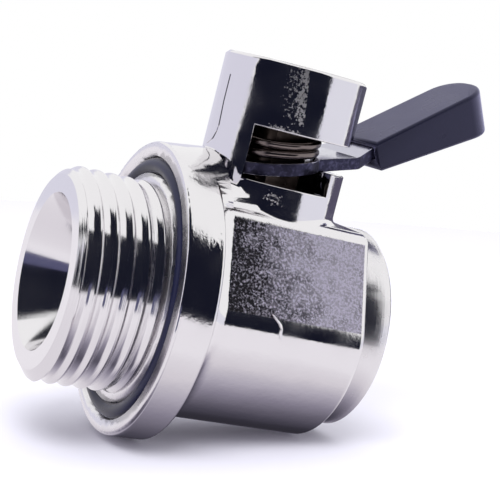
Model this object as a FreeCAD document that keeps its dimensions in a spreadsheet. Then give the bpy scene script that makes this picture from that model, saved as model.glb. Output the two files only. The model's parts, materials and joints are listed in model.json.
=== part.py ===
import FreeCAD, Part
import Sketcher
import math
import os
import re

# Quick drain valve for an oil pan: a plated forging with a threaded inlet, a floating ball
# between two seats, and a sprung lever in a slotted tower.
# Frame: X runs with the flow, Z up the tower, origin in the middle of the flange's sealing face.

doc = FreeCAD.newDocument("quick_drain_valve")
sheet = doc.addObject("Spreadsheet::Sheet", "Sizes")
subparts = []

sizes = {
    # Inlet spigot and flange
    "thread_radius": 14.2875,  # major radius of the inlet thread, 1 1/8 inch across
    "spigot_length": 11.66,  # flange face to the spigot's end
    "spigot_lead": 1.1,  # length of the lead chamfer
    "spigot_end_radius": 12.9,  # outer radius of the spigot's end face
    "mouth_radius": 10.45,  # radius of the bore at the spigot's end
    "mouth_depth": 10.5,  # length of the cone behind the mouth
    "port_radius": 5.75,  # bore through the valve and the ball
    "flange_radius": 19.8,  # outer radius of the flange
    "flange_thickness": 5.13,  # thickness of the flange
    "flange_edge": 0.5,  # rounding of the flange's two rims
    "flange_land": 0.63,  # flange's back left over by the fillet between flange and body
    "ring_land_radius": 15.42,  # inner wall of the O-ring groove in the flange
    "ring_section": 2.4,  # thickness of the flange O-ring
    "ring_proud": 0.5,  # height of the flange O-ring above its face
    # Body
    "body_radius": 16.17,  # radius of the round lower half
    "body_end": 28.4,  # flange face to the body's outlet end
    "body_top": 14.3,  # height of the flat under the tower
    "body_shoulder": 10.0,  # half width of that flat
    "flat_foot": 1.0,  # height at which the side flats meet the round
    "shoulder_round": 2.2,  # rounding between the top and the side flats
    "foot_round": 5.0,  # rounding between the side flats and the round half
    "body_end_round": 0.9,  # rounding of the body's outlet edge
    # Tower
    "stem_place": 16.22,  # flange face to the stem's axis
    "tower_radius": 9.86,  # outer radius of the tower
    "tower_top": 33.8,  # height of the tower's rim
    "tower_bore": 7.45,  # radius of the tower's bore
    "tower_floor": 18.0,  # height of the floor inside the tower and of the notch
    "tower_edge": 0.45,  # chamfer of the tower's two rims
    "tower_fillet": 1.0,  # fillet round the tower's foot
    "window_floor": 21.0,  # height of the ledge that the lever turns over
    "window_top": 25.0,  # height of the window's upper edge
    "slot_half_width": 5.93,  # half width of the cutter that opens the window
    "notch_direction": -98.0,  # direction of the closed notch from +X towards +Y
    "window_direction": 6.0,  # direction of the window's other end
    "web_start": 0.6,  # where the web leaves the flange's rim
    "web_back": 6.6,  # back face of the web, at the tower
    "web_rise": 0.7,  # height of the web at the tower above the flange's rim
    "web_round": 16.5,  # radius of the web's top in section
    "saddle_drop": 0.8,  # depth of the saddle behind the web below the flange's rim
    "saddle_round": 11.4,  # radius of the saddle's top in section
    "saddle_end": 13.0,  # how far the saddle runs into the tower
    # Ball and seats
    "ball_radius": 10.0,  # radius of the ball
    "ball_gap": 0.5,  # gap between the ball and its chamber
    "seat_inner_radius": 6.0,  # hole through a seat
    "seat_outer_radius": 8.6,  # outside of a seat
    "seat_back": 9.4,  # ball centre to the back of a seat
    "seat_land_radius": 7.4,  # radius where a seat's face leaves the ball
    "seat_clearance": 0.05,  # gap between a seat and what it touches
    "chamber_start": 9.2,  # flange face to the start of the ball chamber
    # Outlet retainer
    "retainer_shoulder": 23.2,  # flange face to the step behind the ball chamber
    "retainer_shank_radius": 12.6,  # bore that takes the retainer's shank
    "thread_clearance": 0.05,  # gap round the shank in its bore
    "collar_radius": 14.06,  # radius of the visible collar
    "collar_end": 32.8,  # flange face to the collar's end
    "collar_edge": 0.4,  # chamfer of the collar
    "outlet_radius": 7.475,  # minor radius of the outlet thread, G 3/8
    "outlet_depth": 6.2,  # depth of the outlet thread
    "outlet_lead": 0.9,  # chamfer at the outlet's mouth
    "spanner_slot_width": 3.0,  # width of the two spanner slots
    "spanner_slot_depth": 1.4,  # depth of the two spanner slots
    "spanner_slot_reach": 11.6,  # outer radius of the two spanner slots
    "small_ring_section": 1.15,  # thickness of the O-rings on shank and stem
    "groove_width": 1.3,  # width of the grooves for those O-rings
    "groove_clearance": 0.01,  # gap between an O-ring and its walls
    "shank_groove_place": 0.8,  # retainer's nose to its O-ring groove
    # Stem
    "stem_radius": 4.5,  # radius of the stem's journal
    "stem_clearance": 0.04,  # gap round the journal
    "collar_flange_radius": 5.4,  # radius of the stem's lower collar
    "stem_collar_lift": 0.15,  # gap between the ball and the collar
    "stem_collar_thickness": 1.45,  # thickness of the collar
    "washer_thickness": 0.5,  # thickness of the thrust washer
    "washer_clearance": 0.05,  # gap round the thrust washer
    "stem_groove_place": 0.8,  # washer to the first O-ring groove
    "stem_groove_pitch": 2.3,  # from one stem groove to the next
    "journal_land": 1.1,  # second O-ring groove to the journal's end
    "drive_top": 26.0,  # height of the end of the lever's drive
    "drive_half_flat": 3.1,  # half distance across the drive's flats
    "drive_radius": 4.05,  # radius of the drive's round sides
    "spindle_radius": 3.0,  # radius of the spindle above the drive
    "spindle_top": 32.0,  # height of the spindle's end
    "spindle_chamfer": 0.5,  # chamfer of the spindle's end
    "clip_place": 30.5,  # height of the retaining clip's groove
    "clip_thickness": 0.6,  # thickness of the retaining clip
    "clip_groove_width": 0.7,  # width of the clip's groove
    "clip_groove_radius": 2.3,  # radius of the clip's groove
    "clip_radius": 4.9,  # outer radius of the clip
    "clip_gap": 2.6,  # opening of the clip
    "clip_clearance": 0.03,  # gap between the clip and its groove
    "clip_direction": -60.0,  # direction of the clip's opening from +X towards +Y
    "tang_thickness": 3.9,  # thickness of the tang in the ball's slot
    "tang_half_length": 4.2,  # half length of the tang
    "tang_foot": 7.4,  # height of the tang's lower end
    "slot_clearance": 0.05,  # gap each side of the tang
    "slot_floor_gap": 0.2,  # gap under the tang
    # Lever, grip and spring
    "lever_direction": 10.0,  # direction of the lever from +X towards +Y, open
    "lever_tilt": 13.5,  # slope of the lever where it rides on the ledge
    "lever_thickness": 1.7,  # thickness of the lever's plate
    "ring_radius": 6.8,  # radius of the lever's ring
    "arm_half_width": 5.0,  # half width of the lever's arm
    "arm_straight": 17.6,  # back of the ring to the bend
    "arm_bend": 16.5,  # angle of the bend
    "arm_bend_radius": 1.5,  # inner radius of the bend
    "tang_width": 7.6,  # width of the arm's end inside the grip
    "tang_reach": 17.0,  # length of that end beyond the bend
    "lever_rest_gap": 0.15,  # gap between the ring's back edge and the floor
    "drive_clearance": 0.08,  # gap between the lever's hole and the flats
    "tilt_room": 0.65,  # room for the stem along the lever's hole
    "grip_start": 3.4,  # bend to the grip's near end
    "grip_drop": 0.5,  # middle of the arm's end to the middle of the grip below it
    "grip_length": 21.6,  # length of the grip
    "grip_root_thickness": 4.25,  # thickness of the grip's near end
    "grip_tip_thickness": 7.0,  # thickness of the grip's far end
    "grip_root_width": 9.6,  # width of the grip's near end
    "grip_tip_width": 9.2,  # width of the grip's far end
    "grip_corner": 4.2,  # rounding of the grip's far corners
    "grip_edge": 0.55,  # rounding of the grip's long edges
    "grip_clearance": 0.02,  # gap between the arm's end and the grip
    "wire_thickness": 1.2,  # wire of the spring
    "spring_radius": 5.25,  # mean radius of the spring
    "spring_end_turns": 1.25,  # closed turns at each end of the spring
    "spring_open_turns": 1.5,  # open turns of the spring
    "spring_seat_gap": 0.02,  # gap at each end of the spring
    "spring_start": -25.0,  # direction of the spring's lower end from the lever's arm
    "cap_washer_thickness": 0.8,  # thickness of the washer on the spring
    "cap_washer_radius": 6.9,  # radius of that washer
}

for row, (alias, number) in enumerate(sizes.items(), start=1):
    sheet.set("A%d" % row, alias)
    sheet.set("B%d" % row, str(number))
    sheet.setAlias("B%d" % row, alias)
doc.recompute()


def number(formula):
    """Work out a formula of the sheet's sizes."""
    result = sheet.evalExpression(formula)
    return float(getattr(result, "Value", result))


def mm(formula):
    """Put the sheet's name before each size named in a formula."""
    return re.sub(r"[a-z]\w*", lambda word: "Sizes." * (word[0] in sizes) + word[0], formula)


def bind(thing, prop, formula):
    thing.setExpression(prop, mm(formula))


def new_body(label):
    """Start a sub-part that is made of sketches and features."""
    body = doc.addObject("PartDesign::Body", label)
    body.Label = label
    subparts.append(body)
    return body


def new_sketch(body, name, role, lift="0"):
    """Attach a sketch to one of the body's own origin planes."""
    sketch = body.newObject("Sketcher::SketchObject", name)
    plane = next(item for item in body.Origin.OriginFeatures if item.Role == role)
    sketch.AttachmentSupport = [(plane, "")]
    sketch.MapMode = "FlatFace"
    if lift != "0":
        bind(sketch, "AttachmentOffset.Base.z", lift)
    return sketch


def tie_point(sketch, curve, end, across, up):
    """Hold one point of a sketch at two formulas from the sketch's origin."""
    for kind, formula, axis in (("DistanceX", across, -2), ("DistanceY", up, -1)):
        if formula == "0":
            sketch.addConstraint(Sketcher.Constraint("PointOnObject", curve, end, axis))
            continue
        place = number(mm(formula))
        index = sketch.addConstraint(Sketcher.Constraint(kind, -1, 1, curve, end, place))
        bind(sketch, "Constraints[%d]" % index, formula)


def draw_outline(sketch, corners):
    """Draw a closed outline of straight edges through corners given by formulas."""
    points = [FreeCAD.Vector(number(mm(across)), number(mm(up)), 0) for across, up in corners]
    first = sketch.GeometryCount
    count = len(points)
    for index in range(count):
        edge = Part.LineSegment(points[index], points[(index + 1) % count])
        sketch.addGeometry(edge, False)
    for index in range(count):
        following = (index + 1) % count
        joint = Sketcher.Constraint("Coincident", first + index, 2, first + following, 1)
        sketch.addConstraint(joint)
    for index, (across, up) in enumerate(corners):
        tie_point(sketch, first + index, 1, across, up)


def draw_circle(sketch, across, up, radius):
    """Draw a circle whose centre and radius are formulas."""
    centre = FreeCAD.Vector(number(mm(across)), number(mm(up)), 0)
    circle = Part.Circle(centre, FreeCAD.Vector(0, 0, 1), number(mm(radius)))
    curve = sketch.addGeometry(circle, False)
    tie_point(sketch, curve, 3, across, up)
    index = sketch.addConstraint(Sketcher.Constraint("Radius", curve, number(mm(radius))))
    bind(sketch, "Constraints[%d]" % index, radius)


def turn(body, name, sketch, axis, cut=False):
    """Revolve a sketch about its own horizontal or vertical axis, to add or to cut."""
    kind = "PartDesign::Groove" if cut else "PartDesign::Revolution"
    feature = body.newObject(kind, name)
    feature.Profile = sketch
    feature.ReferenceAxis = (sketch, [axis])
    feature.Angle = 360
    body.Tip = feature
    doc.recompute()
    return feature


def raise_from(body, name, sketch, length, cut=False, back=False, both=False):
    """Pad or pocket a sketch by a length, forwards, backwards or to both sides."""
    kind = "PartDesign::Pocket" if cut else "PartDesign::Pad"
    feature = body.newObject(kind, name)
    feature.Profile = sketch
    bind(feature, "Length", length)
    feature.Reversed = back
    if both:
        feature.Midplane = True
    body.Tip = feature
    doc.recompute()
    return feature


def ease(body, name, radius, chosen, chamfer=False):
    """Round or chamfer the edges of the body's last feature that a test picks."""
    base = body.Tip
    names = []
    for index, edge in enumerate(base.Shape.Edges):
        if chosen(edge):
            names.append("Edge%d" % (index + 1))
    kind = "PartDesign::Chamfer" if chamfer else "PartDesign::Fillet"
    feature = body.newObject(kind, name)
    feature.Base = (base, names)
    bind(feature, "Size" if chamfer else "Radius", radius)
    body.Tip = feature
    doc.recompute()
    return feature


def round_edge(edge, radius, place, axis):
    """True for a full or part circle of a radius at a place along an axis."""
    curve = edge.Curve
    if not isinstance(curve, Part.Circle):
        return False
    fits = abs(curve.Radius - radius) < 0.01 and abs(getattr(curve.Center, axis) - place) < 0.01
    return fits and abs(abs(getattr(curve.Axis, axis)) - 1) < 0.001


# The forging: body section with its flats, spigot and flange turned onto it, tower raised on it
casting = new_body("valve_body")


def draw_section(sketch):
    """Draw the body's section: a round lower half under two side flats and a top flat."""
    radius = number("Sizes.body_radius")
    foot = number("Sizes.flat_foot")
    reach = math.sqrt(radius ** 2 - foot ** 2)
    half = number("Sizes.body_shoulder")
    top = number("Sizes.body_top")
    corners = [FreeCAD.Vector(*pair, 0) for pair in
               ((reach, foot), (half, top), (-half, top), (-reach, foot))]
    for start, end in zip(corners, corners[1:]):
        sketch.addGeometry(Part.LineSegment(start, end), False)
    circle = Part.Circle(FreeCAD.Vector(), FreeCAD.Vector(0, 0, 1), radius)
    foot_angle = math.asin(foot / radius)
    sketch.addGeometry(Part.ArcOfCircle(circle, math.pi - foot_angle, 2 * math.pi + foot_angle), False)
    for first, last, following, start in ((0, 2, 1, 1), (1, 2, 2, 1), (2, 2, 3, 1), (3, 2, 0, 1)):
        sketch.addConstraint(Sketcher.Constraint("Coincident", first, last, following, start))
    sketch.addConstraint(Sketcher.Constraint("Coincident", 3, 3, -1, 1))
    index = sketch.addConstraint(Sketcher.Constraint("Radius", 3, radius))
    bind(sketch, "Constraints[%d]" % index, "body_radius")
    tie_point(sketch, 1, 1, "body_shoulder", "body_top")
    tie_point(sketch, 1, 2, "- body_shoulder", "body_top")
    for end, height in ((1, foot), (2, foot)):
        index = sketch.addConstraint(Sketcher.Constraint("DistanceY", -1, 1, 3, end, height))
        bind(sketch, "Constraints[%d]" % index, "flat_foot")


section = new_sketch(casting, "body_section", "YZ_Plane")
draw_section(section)
raise_from(casting, "body_length", section, "body_end")
ease(casting, "shoulders", "shoulder_round", lambda edge: (
    isinstance(edge.Curve, Part.Line)
    and abs(abs(edge.Curve.Direction.x) - 1) < 0.001
    and abs(edge.CenterOfMass.z - number("Sizes.body_top")) < 0.01
))


def along_body(edge, height):
    """True for a straight edge of the body's length at a height."""
    straight = isinstance(edge.Curve, Part.Line) and abs(abs(edge.Curve.Direction.x) - 1) < 0.001
    return straight and abs(edge.CenterOfMass.z - number(height)) < 0.01


def on_flange_back(edge):
    """True for the edges where the body's section meets the flange's back face."""
    box = edge.BoundBox
    face = number("Sizes.flange_thickness")
    flat = abs(box.XMin - face) < 0.01 and abs(box.XMax - face) < 0.01
    inner = number("Sizes.flange_radius") - number("Sizes.flange_edge") - 0.1
    return flat and box.ZMin > -inner and box.ZMax < inner


def on_tower_foot(edge):
    """True for the curved edges where the tower's outer wall stands on the body."""
    reach = number("Sizes.tower_radius")
    place = number("Sizes.stem_place")
    first, last = edge.ParameterRange
    for share in (0.0, 0.3, 0.7, 1.0):
        point = edge.valueAt(first + share * (last - first))
        if abs(math.hypot(point.x - place, point.y) - reach) > 0.01:
            return False
    return edge.BoundBox.ZMax < number("Sizes.body_top") + 0.1 and not isinstance(edge.Curve, Part.Line)


ease(casting, "flat_feet", "foot_round", lambda edge: along_body(edge, "Sizes.flat_foot"))
ease(casting, "outlet_edge", "body_end_round", lambda edge: (
    abs(edge.BoundBox.XMin - number("Sizes.body_end")) < 0.01
))
turned = new_sketch(casting, "spigot_and_flange", "XZ_Plane")
draw_outline(turned, [
    ("- spigot_length", "0"),
    ("- spigot_length", "spigot_end_radius"),
    ("- spigot_length + spigot_lead", "thread_radius"),
    ("0", "thread_radius"),
    ("0", "flange_radius"),
    ("flange_thickness", "flange_radius"),
    ("flange_thickness", "0"),
])
turn(casting, "flange_turning", turned, "H_Axis")
ease(casting, "flange_rims", "flange_edge", lambda edge: (
    round_edge(edge, number("Sizes.flange_radius"), 0, "x")
    or round_edge(edge, number("Sizes.flange_radius"), number("Sizes.flange_thickness"), "x")
))
ease(casting, "flange_root", "flange_radius - body_radius - flange_land", on_flange_back)


def draw_hump(sketch, top, radius, foot):
    """Draw the section of a rounded hump: an arc under a top height, closed by a level chord."""
    rise = number(mm(foot)) - number(mm(top)) + number(mm(radius))
    reach = math.sqrt(number(mm(radius)) ** 2 - rise ** 2)
    middle = FreeCAD.Vector(0, number(mm(top)) - number(mm(radius)), 0)
    circle = Part.Circle(middle, FreeCAD.Vector(0, 0, 1), number(mm(radius)))
    angle = math.asin(rise / number(mm(radius)))
    sketch.addGeometry(Part.ArcOfCircle(circle, angle, math.pi - angle), False)
    ends = [FreeCAD.Vector(side * reach, number(mm(foot)), 0) for side in (-1, 1)]
    sketch.addGeometry(Part.LineSegment(*ends), False)
    sketch.addConstraint(Sketcher.Constraint("Coincident", 0, 2, 1, 1))
    sketch.addConstraint(Sketcher.Constraint("Coincident", 1, 2, 0, 1))
    tie_point(sketch, 0, 3, "0", "(%s) - (%s)" % (top, radius))
    for kind, thing, value, formula in (("Radius", (0,), number(mm(radius)), radius),
                                        ("DistanceY", (-1, 1, 1, 1), number(mm(foot)), foot),
                                        ("DistanceY", (-1, 1, 1, 2), number(mm(foot)), foot)):
        index = sketch.addConstraint(Sketcher.Constraint(kind, *thing, value))
        bind(sketch, "Constraints[%d]" % index, formula)


# The web that carries the flange's rim up to the tower, and the saddle that fills in behind it
web = new_sketch(casting, "web_section", "YZ_Plane", "web_start")
draw_hump(web, "flange_radius + web_rise", "web_round", "body_top")
raise_from(casting, "web", web, "web_back - web_start")
web_slope = new_sketch(casting, "web_slope_outline", "XZ_Plane")
draw_outline(web_slope, [
    ("web_start - 0.1", "flange_radius"),
    ("web_start", "flange_radius"),
    ("web_back", "flange_radius + web_rise"),
    ("web_back", "flange_radius + web_rise + 1"),
    ("web_start - 0.1", "flange_radius + web_rise + 1"),
])
turn(casting, "web_slope", web_slope, "H_Axis", cut=True)
tower = new_sketch(casting, "tower_circle", "XY_Plane")
draw_circle(tower, "stem_place", "0", "tower_radius")
raise_from(casting, "tower", tower, "tower_top")
ease(casting, "tower_foot", "tower_fillet", on_tower_foot)
saddle = new_sketch(casting, "saddle_section", "YZ_Plane", "flange_thickness - 0.2")
draw_hump(saddle, "flange_radius - saddle_drop", "saddle_round", "body_top - 1")
raise_from(casting, "saddle", saddle, "saddle_end - flange_thickness")

# The bores: mouth cone, port, seat pocket, ball chamber and the retainer's seat, then the
# groove in the flange, the stem's bore and the tower's well
bores = new_sketch(casting, "flow_bores", "XZ_Plane")
inlet_back = "stem_place - seat_back"
draw_outline(bores, [
    ("- spigot_length", "0"),
    ("- spigot_length", "mouth_radius"),
    ("- spigot_length + mouth_depth", "port_radius"),
    (inlet_back, "port_radius"),
    (inlet_back, "seat_outer_radius + seat_clearance"),
    ("chamber_start", "seat_outer_radius + seat_clearance"),
    ("chamber_start", "ball_radius + ball_gap"),
    ("retainer_shoulder", "ball_radius + ball_gap"),
    ("retainer_shoulder", "retainer_shank_radius"),
    ("body_end", "retainer_shank_radius"),
    ("body_end", "0"),
])
turn(casting, "flow_boring", bores, "H_Axis", cut=True)
groove = new_sketch(casting, "ring_groove_outline", "XZ_Plane")
groove_depth = "ring_section - ring_proud + groove_clearance"
groove_wall = "ring_land_radius + ring_section + 2 * groove_clearance"
draw_outline(groove, [
    ("0", "ring_land_radius"),
    (groove_depth, "ring_land_radius"),
    (groove_depth, groove_wall),
    ("0", groove_wall),
])
turn(casting, "ring_groove", groove, "H_Axis", cut=True)


def bore_up(body, name, start, radius, depth):
    """Bore a round hole upwards about the stem's axis."""
    sketch = new_sketch(body, name + "_circle", "XY_Plane", start)
    draw_circle(sketch, "stem_place", "0", radius)
    raise_from(body, name, sketch, depth, cut=True, back=True)


collar_foot = "ball_radius + stem_collar_lift"
washer_seat = collar_foot + " + stem_collar_thickness + washer_thickness"
bore_up(casting, "collar_recess", "port_radius", "collar_flange_radius + washer_clearance * 2",
        washer_seat + " - port_radius")
bore_up(casting, "stem_bore", "port_radius", "stem_radius + stem_clearance", "tower_top - port_radius")
bore_up(casting, "tower_well", "tower_floor", "tower_bore", "tower_top - tower_floor")


def turned_point(along, aside, direction):
    """A point given along a direction and aside of it, as formulas across and up."""
    across = "(%s) * cos(%s) - (%s) * sin(%s)" % (along, direction, aside, direction)
    up = "(%s) * sin(%s) + (%s) * cos(%s)" % (along, direction, aside, direction)
    return across, up


def around_stem(along, aside, direction):
    """The same point measured from the stem's axis."""
    across, up = turned_point(along, aside, direction)
    return "stem_place + " + across, up


# The window that the lever sweeps, and the notch it drops into when it is closed
reach = "tower_radius * 1.6"
one_side = "- slot_half_width"
other_side = "slot_half_width"
window = new_sketch(casting, "window_outline", "XY_Plane", "window_floor")
draw_outline(window, [
    around_stem("0", one_side, "notch_direction"),
    around_stem(reach, one_side, "notch_direction"),
    around_stem(reach + " * 1.5", "0", "(notch_direction + window_direction) / 2"),
    around_stem(reach, other_side, "window_direction"),
    around_stem("0", other_side, "window_direction"),
])
raise_from(casting, "window", window, "window_top - window_floor", cut=True, back=True)
notch = new_sketch(casting, "notch_outline", "XY_Plane", "tower_floor")
draw_outline(notch, [
    around_stem("0", one_side, "notch_direction"),
    around_stem(reach, one_side, "notch_direction"),
    around_stem(reach, other_side, "notch_direction"),
    around_stem("0", other_side, "notch_direction"),
])
raise_from(casting, "closed_notch", notch, "window_top - tower_floor", cut=True, back=True)
ease(casting, "tower_rims", "tower_edge", lambda edge: (
    isinstance(edge.Curve, Part.Circle) and abs(edge.BoundBox.ZMin - number("Sizes.tower_top")) < 0.01
), chamfer=True)

# Flange O-ring
sealing_ring = new_body("flange_o_ring")
ring_sketch = new_sketch(sealing_ring, "ring_section_circle", "XZ_Plane")
draw_circle(ring_sketch, "ring_section / 2 - ring_proud",
            "ring_land_radius + groove_clearance + ring_section / 2", "ring_section / 2")
turn(sealing_ring, "ring_turning", ring_sketch, "H_Axis")

# Outlet retainer: a shank that holds the outlet seat, and a collar with the outlet thread's bore
outlet_back = "stem_place + seat_back"
nose = "retainer_shoulder + thread_clearance * 2"
shank = "retainer_shank_radius - thread_clearance"
groove_start = nose + " + shank_groove_place"
groove_floor = "retainer_shank_radius - groove_clearance * 2 - small_ring_section"
retainer = new_body("outlet_retainer")
retainer_sketch = new_sketch(retainer, "retainer_profile", "XZ_Plane")
pocket_wall = "seat_outer_radius + seat_clearance"
draw_outline(retainer_sketch, [
    (nose, pocket_wall),
    (nose, shank),
    (groove_start, shank),
    (groove_start, groove_floor),
    (groove_start + " + groove_width", groove_floor),
    (groove_start + " + groove_width", shank),
    ("body_end", shank),
    ("body_end", "collar_radius"),
    ("collar_end - collar_edge", "collar_radius"),
    ("collar_end", "collar_radius - collar_edge"),
    ("collar_end", "outlet_radius + outlet_lead"),
    ("collar_end - outlet_lead", "outlet_radius"),
    ("collar_end - outlet_depth", "outlet_radius"),
    ("collar_end - outlet_depth", "port_radius"),
    (outlet_back, "port_radius"),
    (outlet_back, pocket_wall),
])
turn(retainer, "retainer_turning", retainer_sketch, "H_Axis")
spanner_sketch = new_sketch(retainer, "spanner_slots_outline", "YZ_Plane", "collar_end")
draw_outline(spanner_sketch, [
    ("- spanner_slot_reach", "- spanner_slot_width / 2"),
    ("spanner_slot_reach", "- spanner_slot_width / 2"),
    ("spanner_slot_reach", "spanner_slot_width / 2"),
    ("- spanner_slot_reach", "spanner_slot_width / 2"),
])
raise_from(retainer, "spanner_slots", spanner_sketch, "spanner_slot_depth", cut=True)

small_radius = "small_ring_section / 2"
shank_ring = new_body("retainer_o_ring")
shank_ring_sketch = new_sketch(shank_ring, "shank_ring_circle", "XZ_Plane")
draw_circle(shank_ring_sketch, groove_start + " + groove_width / 2",
            groove_floor + " + groove_clearance + small_ring_section / 2", small_radius)
turn(shank_ring, "shank_ring_turning", shank_ring_sketch, "H_Axis")


# Seats: flat backed rings whose inner corner is cut to the ball's sphere
def make_seat(label, side):
    """Make the seat on one side of the ball: a ring less the ball's sphere."""
    back = "stem_place + %d * seat_back" % side
    front = "stem_place + %d * sqrt((ball_radius + seat_clearance) ^ 2 - seat_land_radius ^ 2)" % side
    ring = doc.addObject("PartDesign::Body", label + "_ring")
    sketch = new_sketch(ring, label + "_profile", "XZ_Plane")
    draw_outline(sketch, [
        (back, "seat_inner_radius"),
        (back, "seat_outer_radius"),
        (front, "seat_outer_radius"),
        (front, "seat_inner_radius"),
    ])
    turn(ring, label + "_turning", sketch, "H_Axis")
    sphere = doc.addObject("Part::Sphere", label + "_sphere")
    bind(sphere, "Radius", "ball_radius + seat_clearance")
    bind(sphere, "Placement.Base.x", "stem_place")
    seat = doc.addObject("Part::Cut", label)
    seat.Base = ring
    seat.Tool = sphere
    seat.Label = label
    subparts.append(seat)


make_seat("inlet_seat", -1)
make_seat("outlet_seat", 1)

# Ball: a sphere with the port along X and a slot across its top for the stem's tang
ball_solid = doc.addObject("Part::Sphere", "ball_sphere")
bind(ball_solid, "Radius", "ball_radius")
port = doc.addObject("Part::Cylinder", "ball_port")
bind(port, "Radius", "port_radius")
bind(port, "Height", "ball_radius * 2")
port.Placement.Rotation = FreeCAD.Rotation(FreeCAD.Vector(0, 1, 0), 90)
bind(port, "Placement.Base.x", "- ball_radius")
slot = doc.addObject("Part::Box", "tang_slot")
bind(slot, "Length", "tang_thickness + 2 * slot_clearance")
bind(slot, "Width", "ball_radius * 2")
bind(slot, "Height", "ball_radius")
bind(slot, "Placement.Base.x", "- tang_thickness / 2 - slot_clearance")
bind(slot, "Placement.Base.y", "- ball_radius")
bind(slot, "Placement.Base.z", "tang_foot - slot_floor_gap")
drilled = doc.addObject("Part::Cut", "drilled_ball")
drilled.Base = ball_solid
drilled.Tool = port
ball = doc.addObject("Part::Cut", "ball")
ball.Base = drilled
ball.Tool = slot
ball.Label = "ball"
bind(ball, "Placement.Base.x", "stem_place")
subparts.append(ball)


def stand_on_axis(thing):
    """Move a sub-part modelled about Z onto the stem's axis."""
    bind(thing, "Placement.Base.x", "stem_place")


# Stem: collar, journal with two O-ring grooves, drive for the lever, spindle, and tang
stem = new_body("stem")
stem_sketch = new_sketch(stem, "stem_profile", "XZ_Plane")
collar_top = collar_foot + " + stem_collar_thickness"
stem_groove_floor = "stem_radius + stem_clearance - groove_clearance * 2 - small_ring_section"


def groove_corners(start, floor, outside):
    """Corners of a groove that starts at a height, from its lower to its upper edge."""
    end = start + " + groove_width"
    return [(outside, start), (floor, start), (floor, end), (outside, end)]


first_groove = washer_seat + " + stem_groove_place"
second_groove = first_groove + " + stem_groove_pitch"
journal_top = second_groove + " + groove_width + journal_land"
clip_groove_end = "clip_place + clip_groove_width"
draw_outline(stem_sketch, [
    ("0", collar_foot),
    ("collar_flange_radius", collar_foot),
    ("collar_flange_radius", collar_top),
    ("stem_radius", collar_top),
    *groove_corners(first_groove, stem_groove_floor, "stem_radius"),
    *groove_corners(second_groove, stem_groove_floor, "stem_radius"),
    ("stem_radius", journal_top),
    ("drive_radius", journal_top),
    ("drive_radius", "drive_top"),
    ("spindle_radius", "drive_top"),
    ("spindle_radius", "clip_place"),
    ("clip_groove_radius", "clip_place"),
    ("clip_groove_radius", clip_groove_end),
    ("spindle_radius", clip_groove_end),
    ("spindle_radius", "spindle_top - spindle_chamfer"),
    ("spindle_radius - spindle_chamfer", "spindle_top"),
    ("0", "spindle_top"),
])
turn(stem, "stem_turning", stem_sketch, "V_Axis")
tang_sketch = new_sketch(stem, "tang_outline", "XY_Plane", "tang_foot")
draw_outline(tang_sketch, [
    ("- tang_thickness / 2", "- tang_half_length"),
    ("tang_thickness / 2", "- tang_half_length"),
    ("tang_thickness / 2", "tang_half_length"),
    ("- tang_thickness / 2", "tang_half_length"),
])
raise_from(stem, "tang", tang_sketch, collar_top + " - tang_foot")
for side in (1, -1):
    flat_sketch = new_sketch(stem, "drive_flat_%d" % (side + 1), "XY_Plane", journal_top)
    inner = "%d * drive_half_flat" % side
    outer = "%d * drive_radius * 1.5" % side
    draw_outline(flat_sketch, [
        turned_point("- drive_radius * 1.5", inner, "lever_direction"),
        turned_point("drive_radius * 1.5", inner, "lever_direction"),
        turned_point("drive_radius * 1.5", outer, "lever_direction"),
        turned_point("- drive_radius * 1.5", outer, "lever_direction"),
    ])
    raise_from(stem, "drive_flat_cut_%d" % (side + 1), flat_sketch, "drive_top - (" + journal_top + ")",
               cut=True, back=True)
stand_on_axis(stem)

for label, start in (("lower_stem_o_ring", first_groove), ("upper_stem_o_ring", second_groove)):
    stem_ring = new_body(label)
    stem_ring_sketch = new_sketch(stem_ring, label + "_circle", "XZ_Plane")
    draw_circle(stem_ring_sketch, stem_groove_floor + " + groove_clearance + small_ring_section / 2",
                start + " + groove_width / 2", small_radius)
    turn(stem_ring, label + "_turning", stem_ring_sketch, "V_Axis")
    stand_on_axis(stem_ring)


def make_washer(label, inner, outer, foot, thickness):
    """Make a flat ring about the stem's axis."""
    washer = new_body(label)
    washer_sketch = new_sketch(washer, label + "_profile", "XZ_Plane")
    draw_outline(washer_sketch, [
        (inner, foot),
        (outer, foot),
        (outer, foot + " + " + thickness),
        (inner, foot + " + " + thickness),
    ])
    turn(washer, label + "_turning", washer_sketch, "V_Axis")
    stand_on_axis(washer)
    return washer


make_washer("thrust_washer", "stem_radius + washer_clearance", "collar_flange_radius + washer_clearance",
            collar_top, "washer_thickness")
make_washer("spring_washer", "spindle_radius + washer_clearance", "cap_washer_radius",
            "clip_place - cap_washer_thickness", "cap_washer_thickness")


# Retaining clip: an open ring in the spindle's groove
clip = new_body("retaining_clip")
clip_sketch = new_sketch(clip, "clip_circles", "XY_Plane", "clip_place + clip_clearance")
draw_circle(clip_sketch, "0", "0", "clip_radius")
draw_circle(clip_sketch, "0", "0", "clip_groove_radius + clip_clearance")
raise_from(clip, "clip_ring", clip_sketch, "clip_thickness")
gap_sketch = new_sketch(clip, "clip_gap_outline", "XY_Plane", "clip_place")
draw_outline(gap_sketch, [
    turned_point("0", "- clip_gap / 2", "clip_direction"),
    turned_point("clip_radius * 1.2", "- clip_gap / 2", "clip_direction"),
    turned_point("clip_radius * 1.2", "clip_gap / 2", "clip_direction"),
    turned_point("0", "clip_gap / 2", "clip_direction"),
])
raise_from(clip, "clip_opening", gap_sketch, "clip_thickness * 2", cut=True, back=True)
stand_on_axis(clip)

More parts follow.
